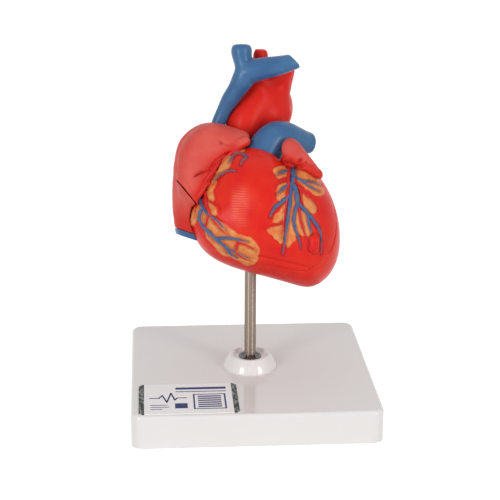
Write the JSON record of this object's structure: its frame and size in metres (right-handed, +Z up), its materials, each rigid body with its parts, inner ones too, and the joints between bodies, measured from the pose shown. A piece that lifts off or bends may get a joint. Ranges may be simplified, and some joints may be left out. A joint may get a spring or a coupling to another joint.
{
  "type": "human heart anatomy model",
  "caption": "Desk model of a human heart on a steel rod and square base; it turns on the rod, lifts off, and its front wall comes away to show chambers and valves.",
  "frame": {"origin": "middle of the base plate's underside, where it stands on the table", "axes": "+Z up along the rod, the longest extent; +X to the viewer's right when the heart's front faces the viewer; -Y is the front"},
  "size_m": [0.125, 0.125, 0.1847],
  "materials": {
    "white_plastic": "gloss",
    "bright_steel": "polished",
    "spring_steel": "satin",
    "label_paper": "satin",
    "sleeve_plastic": "matte",
    "muscle_red": "gloss",
    "chamber_pink": "satin",
    "atrium_pink": "gloss",
    "artery_red": "gloss",
    "vein_blue": "gloss",
    "valve_cream": "satin",
    "papillary_red": "satin"
  },
  "bodies": {
    "stand": {"base_plate": "white_plastic", "stand_rod": "bright_steel", "star_lock_washer": "spring_steel", "under_washer": "spring_steel", "rod_nut": "spring_steel", "info_label": "label_paper"},
    "socket": {"rod_socket": "sleeve_plastic"},
    "heart": {"rear_shell": "muscle_red", "rear_liner": "chamber_pink", "right_atrium": "atrium_pink", "left_atrium": "atrium_pink", "pulmonary_veins": "artery_red", "aorta": "artery_red", "arch_branches": "artery_red", "superior_vena_cava": "vein_blue", "inferior_vena_cava": "vein_blue", "pulmonary_trunk": "vein_blue", "tricuspid_valve": "valve_cream", "mitral_valve": "valve_cream", "pulmonary_valve": "valve_cream", "aortic_valve": "valve_cream", "right_papillary_muscles": "papillary_red", "left_papillary_muscles": "papillary_red", "locating_pegs": "bright_steel"},
    "front_wall": {"front_shell": "muscle_red", "front_liner": "chamber_pink", "right_auricle": "atrium_pink", "left_auricle": "atrium_pink"}
  },
  "joints": [
    {"name": "heart_lift", "type": "slide", "parent": "stand", "child": "socket", "axis": [0, 0, 1], "range_m": [0, 0.025]},
    {"name": "heart_swivel", "type": "hinge", "parent": "socket", "child": "heart", "pos_m": [0, 0, 0.08], "axis": [0, 0, 1], "continuous": true},
    {"name": "front_wall_pull", "type": "slide", "parent": "heart", "child": "front_wall", "axis": [0, -0.9613, 0.2756], "range_m": [0, 0.05]}
  ]
}
